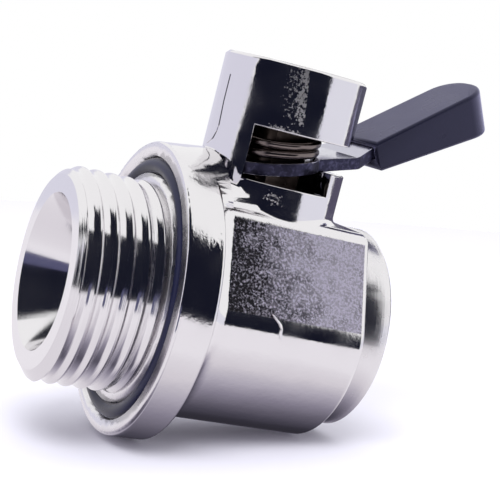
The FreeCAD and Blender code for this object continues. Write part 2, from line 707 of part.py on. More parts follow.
# Lever: one pressed plate, its plan and its bent side view drawn apart and met in one solid.
# Its own X runs along the arm from the ring's back edge, its own Z is square to the ring.
bend_mean = "(arm_bend_radius + lever_thickness / 2)"
tang_x = "(arm_straight + " + bend_mean + " * sin(arm_bend))"
tang_z = "(arm_bend_radius + lever_thickness - " + bend_mean + " * cos(arm_bend))"


def along_tang(run, lift):
    """A point of the lever's side view: run along the tang, lift square to it."""
    across = tang_x + " + (%s) * cos(arm_bend) - (%s) * sin(arm_bend)" % (run, lift)
    up = tang_z + " + (%s) * sin(arm_bend) + (%s) * cos(arm_bend)" % (run, lift)
    return across, up


def make_strip(body, name, start, end, start_half, end_half):
    """Pad a strip of the lever's plan between two places and half widths along it."""
    sketch = new_sketch(body, name + "_outline", "XY_Plane", "- lever_thickness")
    draw_outline(sketch, [
        (start, "- (%s)" % start_half),
        (end, "- (%s)" % end_half),
        (end, end_half),
        (start, start_half),
    ])
    raise_from(body, name, sketch, plan_height)


plan_height = "tang_reach + arm_straight"
plan = doc.addObject("PartDesign::Body", "lever_plan")
ring_disc = new_sketch(plan, "ring_disc_circle", "XY_Plane", "- lever_thickness")
draw_circle(ring_disc, "ring_radius", "0", "ring_radius")
raise_from(plan, "ring_disc", ring_disc, plan_height)
grip_face = along_tang("grip_start", "0")[0]
make_strip(plan, "arm_strip", "ring_radius", tang_x, "arm_half_width", "arm_half_width")
make_strip(plan, "arm_taper", tang_x, grip_face, "arm_half_width", "tang_width / 2")
make_strip(plan, "tang_strip", grip_face, along_tang("tang_reach", "0")[0],
           "tang_width / 2", "tang_width / 2")
side_view = doc.addObject("PartDesign::Body", "lever_side_view")
side_sketch = new_sketch(side_view, "side_outline", "XZ_Plane")
draw_outline(side_sketch, [
    ("- lever_thickness", "0"),
    ("arm_straight + (arm_bend_radius + lever_thickness) * tan(arm_bend / 2)", "0"),
    along_tang("tang_reach", "- lever_thickness / 2"),
    along_tang("tang_reach", "lever_thickness / 2"),
    ("arm_straight + arm_bend_radius * tan(arm_bend / 2)", "lever_thickness"),
    ("- lever_thickness", "lever_thickness"),
])
raise_from(side_view, "side_width", side_sketch, "ring_radius * 3", both=True)


def at_bend(height):
    """A test for the crosswise edge where the bend meets a height of the straight plate."""
    def chosen(edge):
        straight = isinstance(edge.Curve, Part.Line) and abs(abs(edge.Curve.Direction.y) - 1) < 0.001
        near = abs(edge.CenterOfMass.x - number(mm("arm_straight"))) < 2
        return straight and near and abs(edge.CenterOfMass.z - number(mm(height))) < 0.001
    return chosen


ease(side_view, "bend_outside", "arm_bend_radius + lever_thickness", at_bend("0"))
ease(side_view, "bend_inside", "arm_bend_radius", at_bend("lever_thickness"))
plate = doc.addObject("Part::MultiCommon", "lever_plate")
plate.Shapes = [plan, side_view]
hole_round = doc.addObject("Part::Cylinder", "hole_round")
bind(hole_round, "Radius", "drive_radius + tilt_room")
bind(hole_round, "Height", "lever_thickness * 3")
hole_flats = doc.addObject("Part::Box", "hole_flats")
bind(hole_flats, "Length", "drive_radius * 4")
bind(hole_flats, "Width", "2 * (drive_half_flat + drive_clearance)")
bind(hole_flats, "Height", "lever_thickness * 3")
bind(hole_flats, "Placement.Base.x", "- drive_radius * 2")
bind(hole_flats, "Placement.Base.y", "- drive_half_flat - drive_clearance")
hole = doc.addObject("Part::MultiCommon", "lever_hole")
hole.Shapes = [hole_round, hole_flats]
bind(hole, "Placement.Base.x", "(ring_radius + lever_thickness / 2 * sin(lever_tilt)) / cos(lever_tilt)")
bind(hole, "Placement.Base.z", "- lever_thickness")
lever = doc.addObject("Part::Cut", "lever")
lever.Base = plate
lever.Tool = hole
lever.Label = "lever"
lever_frame = (
    "placement(vector(stem_place; 0; tower_floor + lever_rest_gap);"
    " rotation(lever_direction; 0; 0))"
    " * placement(vector(- ring_radius; 0; 0); rotation(0; - lever_tilt; 0))"
)
bind(lever, "Placement", lever_frame)
subparts.append(lever)

# Grip: its own X runs along the tang, wedge shaped in the side view, narrowing in plan
grip = new_body("lever_grip")
grip_end = "grip_start + grip_length"
grip_taper = "(grip_tip_thickness - grip_root_thickness) / 2 / grip_length"
grip_plan = new_sketch(grip, "grip_plan", "XY_Plane")
draw_outline(grip_plan, [
    ("grip_start", "- grip_root_width / 2"),
    (grip_end, "- grip_tip_width / 2"),
    (grip_end, "grip_tip_width / 2"),
    ("grip_start", "grip_root_width / 2"),
])
raise_from(grip, "grip_block", grip_plan, "grip_tip_thickness", both=True)
for side, name in ((1, "upper"), (-1, "lower")):
    wedge = new_sketch(grip, name + "_wedge_outline", "XZ_Plane")
    draw_outline(wedge, [
        ("grip_start - 1", "%d * (grip_root_thickness / 2 - %s)" % (side, grip_taper)),
        (grip_end, "%d * grip_tip_thickness / 2" % side),
        (grip_end, "%d * grip_tip_thickness" % side),
        ("grip_start - 1", "%d * grip_tip_thickness" % side),
    ])
    raise_from(grip, name + "_wedge", wedge, "grip_root_width * 2", cut=True, both=True)
ease(grip, "grip_corners", "grip_corner", lambda edge: (
    isinstance(edge.Curve, Part.Line) and abs(abs(edge.Curve.Direction.z) - 1) < 0.001
    and edge.CenterOfMass.x > number(mm(grip_end)) - 0.01
))
ease(grip, "grip_edges", "grip_edge", lambda edge: (
    not (isinstance(edge.Curve, Part.Line) and abs(abs(edge.Curve.Direction.z) - 1) < 0.001)
))
tang_hole = new_sketch(grip, "tang_hole_outline", "XY_Plane",
                       "grip_drop - lever_thickness / 2 - grip_clearance")
draw_outline(tang_hole, [
    ("0", "- tang_width / 2 - grip_clearance"),
    ("tang_reach + grip_clearance", "- tang_width / 2 - grip_clearance"),
    ("tang_reach + grip_clearance", "tang_width / 2 + grip_clearance"),
    ("0", "tang_width / 2 + grip_clearance"),
])
raise_from(grip, "tang_hole", tang_hole, "lever_thickness + 2 * grip_clearance", cut=True, back=True)
bind(grip, "Placement", lever_frame + " * placement(vector(" + tang_x + "; 0; " + tang_z + ");"
     " rotation(0; - arm_bend; 0)) * placement(vector(0; 0; - grip_drop); rotation(0; 0; 0))")

# Spring: closed turns that lie on the tilted ring below and on the level washer above
tilt = math.radians(number("Sizes.lever_tilt"))
wire = number("Sizes.wire_thickness")
coil = number("Sizes.spring_radius")
closed = number("Sizes.spring_end_turns")
opened = number("Sizes.spring_open_turns")
seat_gap = number("Sizes.spring_seat_gap")
ring_top = number(mm("tower_floor + lever_rest_gap + ring_radius * tan(lever_tilt)"
                     " + lever_thickness / cos(lever_tilt)"))
spring_foot = ring_top + wire / 2 / math.cos(tilt) + seat_gap
spring_head = number(mm("clip_place - cap_washer_thickness")) - wire / 2 - seat_gap
closed_pitch = wire * 1.02
open_pitch = (spring_head - spring_foot - 2 * closed * closed_pitch) / opened
start_angle = math.radians(number("Sizes.spring_start"))


def spring_point(turns):
    """A point of the wire's centre line, turns from its lower end."""
    spread = min(max(turns - closed, 0), opened)
    height = spring_foot + (turns - spread) * closed_pitch + spread * open_pitch
    angle = start_angle - 2 * math.pi * turns
    lean = (1 - spread / opened) * math.tan(tilt) * coil * math.cos(angle)
    return FreeCAD.Vector(coil * math.cos(angle), coil * math.sin(angle), height + lean)


steps = round(14 * (2 * closed + opened))
path = Part.BSplineCurve()
path.interpolate([spring_point((2 * closed + opened) * index / steps) for index in range(steps + 1)])
wire_circle = Part.Circle(path.value(0), path.tangent(0)[0], wire / 2)
swept = Part.Wire(path.toShape()).makePipeShell([Part.Wire(wire_circle.toShape())], True, True)
spring = doc.addObject("Part::Feature", "lever_spring")
spring.Shape = swept
spring.Label = "lever_spring"
bind(spring, "Placement", "placement(vector(stem_place; 0; 0); rotation(lever_direction; 0; 0))")
subparts.append(spring)

doc.recompute()

faults = []
for thing in doc.Objects:
    if "Invalid" in thing.State or "Error" in thing.State:
        faults.append("%s: %s" % (thing.Name, thing.State))
for part in subparts:
    if part.Shape.isNull() or not part.Shape.isValid() or len(part.Shape.Solids) != 1:
        faults.append("%s: no sound single solid" % part.Label)
if faults:
    raise ValueError("; ".join(faults))

os.makedirs("parts", exist_ok=True)
for part in subparts:
    part.Shape.exportStep("parts/%s.step" % part.Label)
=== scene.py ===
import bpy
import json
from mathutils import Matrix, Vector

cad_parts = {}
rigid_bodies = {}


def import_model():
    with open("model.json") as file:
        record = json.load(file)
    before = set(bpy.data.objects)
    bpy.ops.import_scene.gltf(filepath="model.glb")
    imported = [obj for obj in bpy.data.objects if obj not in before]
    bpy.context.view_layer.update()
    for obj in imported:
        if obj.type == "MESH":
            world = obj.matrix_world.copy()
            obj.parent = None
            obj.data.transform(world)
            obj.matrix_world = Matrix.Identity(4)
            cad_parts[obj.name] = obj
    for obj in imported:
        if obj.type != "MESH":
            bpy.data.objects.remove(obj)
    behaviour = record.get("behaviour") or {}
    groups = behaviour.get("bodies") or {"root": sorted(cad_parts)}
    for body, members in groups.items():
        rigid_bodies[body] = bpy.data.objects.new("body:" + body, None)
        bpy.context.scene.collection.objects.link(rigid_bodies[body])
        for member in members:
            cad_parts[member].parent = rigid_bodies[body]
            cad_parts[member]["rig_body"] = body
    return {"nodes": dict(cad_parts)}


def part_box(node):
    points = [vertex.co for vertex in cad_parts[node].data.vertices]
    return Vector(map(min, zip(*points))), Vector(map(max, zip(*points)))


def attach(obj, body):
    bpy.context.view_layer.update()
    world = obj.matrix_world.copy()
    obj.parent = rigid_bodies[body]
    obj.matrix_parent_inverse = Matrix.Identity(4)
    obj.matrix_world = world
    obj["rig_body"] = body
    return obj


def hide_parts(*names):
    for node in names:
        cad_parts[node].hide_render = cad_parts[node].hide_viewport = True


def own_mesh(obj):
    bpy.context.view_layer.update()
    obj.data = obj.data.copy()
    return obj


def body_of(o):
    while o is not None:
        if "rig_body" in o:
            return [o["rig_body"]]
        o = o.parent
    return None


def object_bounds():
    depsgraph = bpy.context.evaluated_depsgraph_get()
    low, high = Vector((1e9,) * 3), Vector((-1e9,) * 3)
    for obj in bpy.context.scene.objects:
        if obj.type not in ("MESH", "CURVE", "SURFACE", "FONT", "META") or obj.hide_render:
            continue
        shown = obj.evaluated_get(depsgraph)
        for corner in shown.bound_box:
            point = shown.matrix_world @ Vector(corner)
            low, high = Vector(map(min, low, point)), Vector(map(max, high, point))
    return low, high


bl_info = {
    "name": "Quick drain valve",
    "version": (1, 0, 0),
    "blender": (4, 5, 0),
    "location": "View3D > Sidebar > Drain valve",
    "description": "Dresses a packed quick drain valve and sets it on its stage",
    "category": "Object",
}

import bmesh
import bpy
import json
import math
from bpy.props import FloatProperty, FloatVectorProperty, IntProperty, PointerProperty
from mathutils import Matrix, Vector

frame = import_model()
cad_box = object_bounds()
MM = 0.001
X_AXIS = Vector((1, 0, 0))
Z_AXIS = Vector((0, 0, 1))
STEM_AXIS = Vector(((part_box("thrust_washer")[0].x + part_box("thrust_washer")[1].x) / 2, 0, 0))
# Where the threaded spigot takes over from the forging, just before the flange's face
SPIGOT_ROOT = -0.05 * MM
# How near to a surface a point counts as lying on it
NEARLY = 0.03 * MM
# How near to each other two points count as one, and to a cutting plane one counts as on it
TOUCHING = 0.001 * MM
ON_PLANE = 0.0001 * MM
# Radians between two faces past which their edge gets rounded, and past which the window's does
SHARP = 0.9
WINDOW_SHARP = 1.0
# How well a face's normal agrees with the side flat's, as a cosine, to be part of that flat
ON_FLAT = 0.9999
# Height of a normal under which a face of the plate is one of its sheared sides, which get a darker colour,
# partly painted shade
UPRIGHT = 0.45


def length(name, description, default):
    """A size that a user can change, given here in millimetres."""
    return FloatProperty(name=name, description=description, default=default * MM, unit="LENGTH")


def spot(name, description, default):
    """A place in the scene that a user can change, given here in millimetres."""
    return FloatVectorProperty(name=name, description=description, default=[v * MM for v in default],
                               subtype="TRANSLATION", unit="LENGTH", size=3)


def count(name, description, default):
    """A number of steps that a user can change."""
    return IntProperty(name=name, description=description, default=default)


def linear(code):
    """Turn an sRGB hex colour into linear values with full alpha."""
    values = [int(code[place:place + 2], 16) / 255 for place in (1, 3, 5)]
    return [v / 12.92 if v <= 0.04045 else ((v + 0.055) / 1.055) ** 2.4 for v in values] + [1.0]


def colour(name, description, code):
    """A colour that a user can change, given here as an sRGB hex value."""
    return FloatVectorProperty(name=name, description=description, default=linear(code),
                               subtype="COLOR", size=4, min=0.0, max=1.0)


# Sizes and colours
class ForgingSettings(bpy.types.PropertyGroup):
    thread_radius: length("Thread radius", "Crest radius of the inlet thread", 14.2875)
    thread_pitch: length("Thread pitch", "Pitch of the inlet thread, twelve to the inch", 25.4 / 12)
    thread_depth: length("Thread depth", "Depth of the inlet thread, as shallow as it looks", 0.6)
    thread_steps: count("Thread steps", "Steps in a turn of the inlet thread", 160)
    spigot_length: length("Spigot length", "Flange face to the spigot's end", 11.66)
    spigot_end_radius: length("Spigot end radius", "Outer radius of the end face", 12.9)
    spigot_lead: length("Lead", "Length of the lead chamfer", 1.1)
    mouth_radius: length("Mouth radius", "Radius of the bore's mouth", 10.45)
    mouth_depth: length("Mouth depth", "Length of the mouth's cone", 10.5)
    port_radius: length("Port radius", "Radius of the bore behind the cone", 5.75)
    foot_half_width: length("Flat's foot", "Half width of the body where the side flats start", 16.139)
    shoulder_half_width: length("Shoulder", "Half width of the top flat", 10.0)
    flat_rise: length("Flat's rise", "Height from the side flats' foot to the top flat", 13.3)
    flat_start: length("Flat's start", "Where the rough flats start behind the flange", 7.0)
    tower_radius: length("Tower radius", "Outer radius of the tower", 9.86)
    window_foot: length("Window's foot", "Just below the lowest edge of the window and notch", 17.9)
    window_top: length("Window's top", "Just above the window's upper edge", 25.1)
    window_edge: length("Window's edge", "Rounding of the window's edges", 0.22)
    web_back: length("Web's back", "Back face of the web in front of the tower", 6.6)
    web_foot: length("Web's foot", "Height above which the web's back edge is rounded", 14.7)
    web_edge: length("Web's edge", "Rounding of the web's back edge", 0.5)
    flange_skim: length("Flange's skim", "Depth to which the flange's face and groove are turned", 2.6)
    flange_turned: length("Turned radius", "Radius to which the flange's face is turned", 19.35)
    flash_width: length("Flash", "Width of the parting flash on the tower", 0.2)
    burr_width: length("Burr", "Width of the burr at the flat's foot", 0.4)
    plating: colour("Plating", "Colour of the nickel plating", "#eae8ea")
    grain: length("Cast grain", "Size of the cast skin's grain", 0.75)
    grit: length("Grit", "Size of the grit on the rough flats", 0.32)


class RingSettings(bpy.types.PropertyGroup):
    ring_radius: length("Ring radius", "Middle radius of the flange O-ring", 16.56)
    ring_section: length("Ring section", "Thickness of the flange O-ring", 2.2)
    ring_proud: length("Ring proud", "Height of the O-ring above the flange face", 0.15)
    section_steps: count("Section steps", "Steps round the O-ring's section", 28)
    ring_steps: count("Ring steps", "Steps round the whole O-ring", 180)
    rubber: colour("Rubber", "Colour of the nitrile rubber", "#1d1f3a")


class FlowSettings(bpy.types.PropertyGroup):
    collar_end: length("Collar's end", "Flange face to the collar's end", 32.8)
    outlet_radius: length("Outlet radius", "Minor radius of the outlet thread, G 3/8", 7.475)
    outlet_thread: length("Outlet thread", "Depth of the outlet thread's grooves", 0.856)
    outlet_pitch: length("Outlet pitch", "Pitch of the outlet thread, nineteen to the inch", 25.4 / 19)
    outlet_steps: count("Outlet steps", "Steps in a turn of the outlet thread", 96)
    outlet_depth: length("Outlet depth", "Length of the threaded bore", 6.2)
    spanner_depth: length("Spanner depth", "Just more than the depth of the two spanner slots", 1.5)
    seat_colour: colour("Seats", "Colour of the ball's seats and the thrust washer", "#e9e7e0")


class LeverSettings(bpy.types.PropertyGroup):
    lever_colour: colour("Lever", "Colour of the zinc plated plate", "#bdbcca")
    # The sheared sides' colour is darker partly for their dull sheared finish and partly as painted shade on
    # the upright faces
    sheared_and_shaded_colour: colour("Sheared sides", "Colour of the plate's sheared sides", "#38374a")
    lever_edge: length("Lever's edge", "Rounding of the plate's edges", 0.14)
    grip_colour: colour("Grip", "Colour of the moulded grip", "#0a0b1c")
    grip_grain: length("Grip grain", "Size of the grip's moulded grain", 0.35)


class SpringSettings(bpy.types.PropertyGroup):
    steel: colour("Spring steel", "Colour of the oiled spring wire", "#7d7370")
    stem: colour("Stem steel", "Colour of the stem", "#4a413c")
    foot_lift: length("Foot lift", "How far the lifted lever pushes the spring's foot up", 0.72)


class StageSettings(bpy.types.PropertyGroup):
    camera_place: spot("Camera", "Place of the camera", (-62.447, -170.081, 27.869))
    camera_turn: FloatVectorProperty(name="Camera turn", description="Turn of the camera", subtype="EULER",
                                     size=3, default=[math.radians(a) for a in (83.816, -14.270, -23.268)])
    lens: FloatProperty(name="Lens", description="Focal length in millimetres", default=98.685)
    floor_up: FloatVectorProperty(name="Floor", description="Upward direction of the floor", size=3,
                                  subtype="DIRECTION", default=(-0.162, 0.092, 0.983))
    floor_radius: length("Floor radius", "Radius of the round floor", 500)
    floor_colour: colour("Floor", "Colour of the floor", "#efeefa")
    floor_glow: FloatProperty(name="Floor glow", description="Light that the floor gives off", default=0.035)
    glow_colour: colour("Glow", "Colour of the light that the floor gives off", "#f6f2ff")
    ambient: FloatProperty(name="Ambient", description="Light that the surroundings give", default=0.85)
    key: FloatProperty(name="Key lamp", description="Power of the key lamp in watts", default=5.0)
    key_size: length("Key lamp's size", "Side of the square key lamp", 500)
    key_place: spot("Key lamp's place", "Place of the key lamp", (-350, -450, 750))
    key_aim: spot("Key lamp's aim", "Place that the key lamp points at", (12, 0, 5))
    screen_reach: length("Screens", "Distance of the reflected screens from the tower", 500)
    # The sheet glows with a painted shadow under the valve, and only reflections show it
    sheet_radius: length("Sheet radius", "Radius of the reflected white sheet", 250)
    sheet_gap: length("Sheet gap", "How far under the valve the white sheet lies", 0.5)


# One pitch of a thread's outline: shares of the pitch, and of the height from root to crest
THREAD_OUTLINE = ((0.0, 1.0), (0.06, 1.0), (0.12, 0.77), (0.2, 0.34), (0.25, 0.1), (0.3, 0.0), (0.62, 0.0),
                  (0.7, 0.1), (0.79, 0.36), (0.9, 0.78), (0.96, 0.97))
# The parting flash: bearing round the tower in degrees, height in millimetres
FLASH_LINE = ((-172, 30.6), (-172, 27), (-170.5, 23.8), (-171.5, 22.8), (-175, 21.8), (177, 21))
# The burr at the flat's foot: places in millimetres
BURR_LINE = ((14.3, -15.5, 2.4), (14.9, -15.72, 1.9), (15.5, -15.95, 1.4), (15.75, -16.12, 0.8),
             (15.78, -16.17, 0.1), (15.95, -16.17, -0.5))
# Where polishing left the cast skin: a streak up the tower, a patch over the window and one at the
# tower's foot. Each has its strength, then an axis and the millimetres at which the patch is gone
# and at which it is full. The slant leans back by SLANT_LEAN of the height.
SLANT_LEAN = 0.14
SKIN_PATCHES = (
    (1.0, ("slant", 14, 17.9), ("slant", 18.55, 18.4), ("up", 25, 27)),
    (1.0, ("up", 26.3, 25.2), ("up", 24.9, 25), ("along", 9.5, 10.5), ("along", 15, 14)),
    (0.8, ("up", 14.6, 16), ("up", 17.8, 16.6), ("along", 11, 13), ("along", 16, 14)),
)
# The screens that the plating reflects: share of the reach, first and last bearing in degrees from
# the camera, lower and upper edge in millimetres, colour
SCREENS = {
    "black_cloth": (1.0, -64, 60, -60, 850, "#161826"),
    "high_cloth": (1.0, -78, 0, 200, 1200, "#161826"),
    "left_wall": (1.0, -178, -66, -60, 160, "#e3e2f0"),
    "right_wall": (1.0, 60, 118, -35, 120, "#ececf6"),
    "dark_corner": (1.0, 122, 176, -30, 90, "#595569"),
    "blue_strip": (0.17, -38, -12, -18, 2, "#595979"),
}
# The painted shadow on the reflected sheet, from under the valve outwards: share of the way, colour
PAINTED_SHADOW_TONES = ((0.0, "#302e36"), (0.083, "#36343e"), (0.167, "#504d5a"), (0.23, "#6a6674"),
               (0.323, "#8f8a9a"), (0.44, "#bcb7c4"), (0.6, "#e2dde4"), (0.98, "#f8f5fa"))
# Shares of the ambient light that come from the side and from straight above
LIGHT_FROM_SIDE = 0.35
LIGHT_FROM_ABOVE = 1.5


# Materials
def add_node(tree, kind, inputs=(), **settings):
    """Add a shader node with its settings; inputs gives values, sockets or nodes by name or in order."""
    node = tree.nodes.new("ShaderNode" + kind)
    for name, value in settings.items():
        setattr(node, name, value)
    for name, value in inputs.items() if isinstance(inputs, dict) else enumerate(inputs):
        if isinstance(value, bpy.types.Node):
            value = value.outputs[0]
        if isinstance(value, bpy.types.NodeSocket):
            tree.links.new(value, node.inputs[name])
        else:
            node.inputs[name].default_value = value
    return node


def new_material(name):
    """Start a material with an empty tree; gives both."""
    material = bpy.data.materials.new(name)
    material.use_nodes = True
    material.node_tree.nodes.clear()
    return material, material.node_tree


def shaded(base, share):
    """A colour made darker or paler by a share."""
    return [min(1.0, v * share) for v in base[:3]] + [1.0]


def unpolished(tree, place):
    """Where polishing left the cast skin, from 0 to 1 and grainy, on the window's side of the tower."""
    along, across, up = add_node(tree, "SeparateXYZ", [place]).outputs
    slant = add_node(tree, "Math", [up, SLANT_LEAN, along], operation="MULTIPLY_ADD")
    axes = {"along": along, "up": up, "slant": slant}
    most = 0.0
    for strength, *fades in SKIN_PATCHES:
        patch = strength
        for axis, gone, full in fades:
            fade = add_node(tree, "MapRange", [axes[axis], gone * MM, full * MM, 0, 1])
            patch = add_node(tree, "Math", [patch, fade], operation="MULTIPLY")
        most = add_node(tree, "Math", [most, patch], operation="MAXIMUM")
    # Grains of 0.4 mm stay where the noise is over a limit, which is low in the middle of a patch
    grit = add_node(tree, "TexNoise", {"Vector": place, "Scale": 1 / (0.4 * MM), "Detail": 4.0,
                                       "Roughness": 0.65})
    limit = add_node(tree, "MapRange", [most, 0, 1, 0.72, 0.44])
    over = add_node(tree, "Math", [grit, limit], operation="SUBTRACT")
    left = add_node(tree, "MapRange", [over, 0, 0.07, 0, 1])
    for value, gone, full in ((most, 0, 0.1), (across, -4 * MM, -5 * MM)):
        fade = add_node(tree, "MapRange", [value, gone, full, 0, 1])
        left = add_node(tree, "Math", [left, fade], operation="MULTIPLY")
    return left


def plated_forging(name, base, size):
    """Bright nickel plate on a polished brass forging.

    It gives the eye a mirror whose orange peel and slow swell break up what it reflects, and dull
    grainy patches where polishing left the cast skin.
    """
    material, tree = new_material(name)
    place = add_node(tree, "TexCoord").outputs["Object"]
    peel = add_node(tree, "TexNoise", {"Vector": place, "Scale": 1 / size, "Detail": 3.0, "Roughness": 0.55})
    swell = add_node(tree, "TexNoise", {"Vector": place, "Scale": 1 / (size * 6), "Detail": 1.0})
    grit = add_node(tree, "TexNoise", {"Vector": place, "Scale": 1 / (size * 0.5), "Detail": 4.0,
                                       "Roughness": 0.7})
    skin = unpolished(tree, place)
    haze = add_node(tree, "MapRange", [swell, 0.35, 0.7, 0.05, 0.16])
    rough = add_node(tree, "Math", [skin, 0.3, haze], operation="MULTIPLY_ADD")
    relief = add_node(tree, "Bump", {"Strength": 0.35, "Distance": 0.05 * MM, "Height": peel})
    relief = add_node(tree, "Bump", {"Strength": 0.5, "Distance": 0.12 * MM, "Height": swell,
                                     "Normal": relief})
    relief = add_node(tree, "Bump", {"Strength": skin, "Distance": 0.04 * MM, "Height": grit,
                                     "Normal": relief})
    shader = add_node(tree, "BsdfPrincipled", {"Base Color": base, "Metallic": 1.0, "Roughness": rough,
                                               "Normal": relief})
    add_node(tree, "OutputMaterial", [shader])
    return material


def cast_flat(name, base, size):
    """Nickel plate on the forging's flat, left as rough as the die made it.

    It gives the eye coarse grit in clouds. Its colour is painted light: painted shade darkens it near the
    flange and at the foot, where the raised grit carries painted glints, and further out it is pale with
    dark pits, painted shade in the grit's hollows.
    """
    material, tree = new_material(name)
    place = add_node(tree, "TexCoord").outputs["Object"]
    grit = add_node(tree, "TexNoise", {"Vector": place, "Scale": 1 / size, "Detail": 4.0, "Roughness": 0.7})
    cloud = add_node(tree, "TexNoise", {"Vector": place, "Scale": 1 / (size * 7)})
    # Painted shade: the flat grows paler away from the flange and, by 0.022 a millimetre, upwards
    split = add_node(tree, "SeparateXYZ", [place])
    outward = add_node(tree, "MapRange", [split.outputs["X"], 8.6 * MM, 22 * MM, -0.12, 0.8])
    lifted = add_node(tree, "Math", [split.outputs["Z"], 0.022 / MM, outward], operation="MULTIPLY_ADD")
    drift = add_node(tree, "MapRange", [cloud, 0.3, 0.7, -0.25, 0.25])
    pale = add_node(tree, "Math", [lifted, drift], operation="ADD")
    # Grit over a limit gets painted glints, and the rest painted shade, nearly black where the flat isn't
    # pale
    limit = add_node(tree, "MapRange", [pale, 0, 1, 0.6, 0.4])
    over = add_node(tree, "Math", [grit, limit], operation="SUBTRACT")
    painted_glints = add_node(tree, "MapRange", [over, -0.08, 0.12, 0, 1])
    painted_shade = add_node(tree, "MapRange", [pale, 0.3, 1, 0.03, 0.74])
    level = add_node(tree, "Math", [painted_glints, painted_shade], operation="MAXIMUM")
    # The base colour carries the painted glints and painted shade
    bluish = [v * share for v, share in zip(base, (0.9, 0.87, 1.04))]
    tone = add_node(tree, "VectorMath", {0: bluish, "Scale": level}, operation="SCALE")
    rough = add_node(tree, "MapRange", [cloud, 0.3, 0.7, 0.3, 0.45])
    relief = add_node(tree, "Bump", {"Strength": 1.0, "Distance": 0.3 * MM, "Height": grit})
    shader = add_node(tree, "BsdfPrincipled", {"Base Color": tone, "Metallic": 1.0, "Roughness": rough,
                                               "Normal": relief})
    add_node(tree, "OutputMaterial", [shader])
    return material


def turned_plating(name, base, rough, cut=0.12 * MM, depth=0.005 * MM):
    """Nickel plate on a turned surface.

    It gives the eye rings round X, as a tool leaves them, with a soft sheen across them. The real
    marks are too fine to show, so they are drawn as coarse as cut, and in patches of 4 mm that
    differ in gloss.
    """
    material, tree = new_material(name)
    place = add_node(tree, "TexCoord").outputs["Object"]
    mapped = add_node(tree, "Mapping", {"Vector": place, "Scale": (1, 0.02, 0.02)})
    rings = add_node(tree, "TexNoise", {"Vector": mapped, "Scale": 1 / cut, "Detail": 3.0, "Roughness": 0.7})
    patches = add_node(tree, "TexNoise", {"Vector": place, "Scale": 1 / (4 * MM)})
    gloss = add_node(tree, "MapRange", [patches, 0.3, 0.7, rough * 0.75, rough * 1.3])
    relief = add_node(tree, "Bump", {"Strength": 1.0, "Distance": depth, "Height": rings})
    shader = add_node(tree, "BsdfPrincipled", {"Base Color": base, "Metallic": 1.0, "Roughness": gloss,
                                               "Normal": relief})
    add_node(tree, "OutputMaterial", [shader])
    return material


def worn_steel(name, base, rough):
    """Plated, oiled or turned steel that has been handled.

    It gives the eye a metal with streaks of different gloss, about 0.8 mm wide.
    """
    material, tree = new_material(name)
    place = add_node(tree, "TexCoord").outputs["Object"]
    streaks = add_node(tree, "TexNoise", {"Vector": place, "Scale": 1 / (0.8 * MM), "Detail": 4.0,
                                          "Roughness": 0.6})
    gloss = add_node(tree, "MapRange", [streaks, 0.3, 0.7, rough * 0.7, rough * 1.4])
    relief = add_node(tree, "Bump", {"Strength": 0.15, "Distance": 0.03 * MM, "Height": streaks})
    shader = add_node(tree, "BsdfPrincipled", {"Base Color": base, "Metallic": 1.0, "Roughness": gloss,
                                               "Normal": relief})
    add_node(tree, "OutputMaterial", [shader])
    return material


def sheared_and_shaded_steel(name, base):
    """Sides of a pressed steel plate, as the shear left them.

    It gives the eye a dull dark metal with paler scuffs. The scuffs are wear; the dark base colour is partly
    the sheared finish and partly painted shade on the plate's upright faces.
    """
    material, tree = new_material(name)
    place = add_node(tree, "TexCoord").outputs["Object"]
    scuffs = add_node(tree, "TexNoise", {"Vector": place, "Scale": 1 / (0.7 * MM), "Detail": 4.0,
                                         "Roughness": 0.65})
    share = add_node(tree, "MapRange", [scuffs, 0.5, 0.68, 0, 1])
    tone = add_node(tree, "Mix", {"Factor": share, 6: base, 7: shaded(base, 2.6)}, data_type="RGBA")
    gloss = add_node(tree, "MapRange", [scuffs, 0.3, 0.7, 0.28, 0.4])
    relief = add_node(tree, "Bump", {"Strength": 0.2, "Distance": 0.03 * MM, "Height": scuffs})
    shader = add_node(tree, "BsdfPrincipled", {"Base Color": tone.outputs[2], "Metallic": 1.0,
                                               "Roughness": gloss, "Normal": relief})
    add_node(tree, "OutputMaterial", [shader])
    return material


def moulded(name, base, size, rough, relief, gloss=0.5, sheen=0.0):
    """Moulded rubber or plastic.

    It gives the eye a fine grain, faint changes of tone and, with some sheen, a bluish bloom.
    """
    material, tree = new_material(name)
    place = add_node(tree, "TexCoord").outputs["Object"]
    fine = add_node(tree, "TexNoise", {"Vector": place, "Scale": 1 / size, "Detail": 3.0, "Roughness": 0.6})
    broad = add_node(tree, "TexNoise", {"Vector": place, "Scale": 1 / (size * 14)})
    tone = add_node(tree, "Mix", {"Factor": broad, 6: shaded(base, 0.8), 7: shaded(base, 1.25)},
                    data_type="RGBA")
    matt = add_node(tree, "MapRange", [broad, 0.3, 0.7, rough * 0.85, rough * 1.15])
    grained = add_node(tree, "Bump", {"Strength": relief, "Distance": 0.04 * MM, "Height": fine})
    shader = add_node(tree, "BsdfPrincipled", {
        "Base Color": tone.outputs[2], "Roughness": matt, "Normal": grained, "Specular IOR Level": gloss,
        "Sheen Weight": sheen, "Sheen Tint": linear("#cbc8ff")})
    add_node(tree, "OutputMaterial", [shader])
    return material


# Mesh helpers
def wire(bm, points):
    """Draw a run of edges through points."""
    verts = [bm.verts.new(point) for point in points]
    for pair in zip(verts, verts[1:]):
        bm.edges.new(pair)


def merged_copy(node):
    """A merged copy of a CAD node's mesh."""
    bm = bmesh.new()
    bm.from_mesh(frame["nodes"][node].data)
    bmesh.ops.remove_doubles(bm, verts=bm.verts[:], dist=TOUCHING)
    return bm


def mesh_from(bm, name):
    """Turn a bmesh into a mesh."""
    mesh = bpy.data.meshes.new(name)
    bm.to_mesh(mesh)
    bm.free()
    return mesh


def new_object(name, data):
    """Put a mesh, a lamp or a camera into the scene."""
    made = bpy.data.objects.new(name, data)
    bpy.context.scene.collection.objects.link(made)
    return made


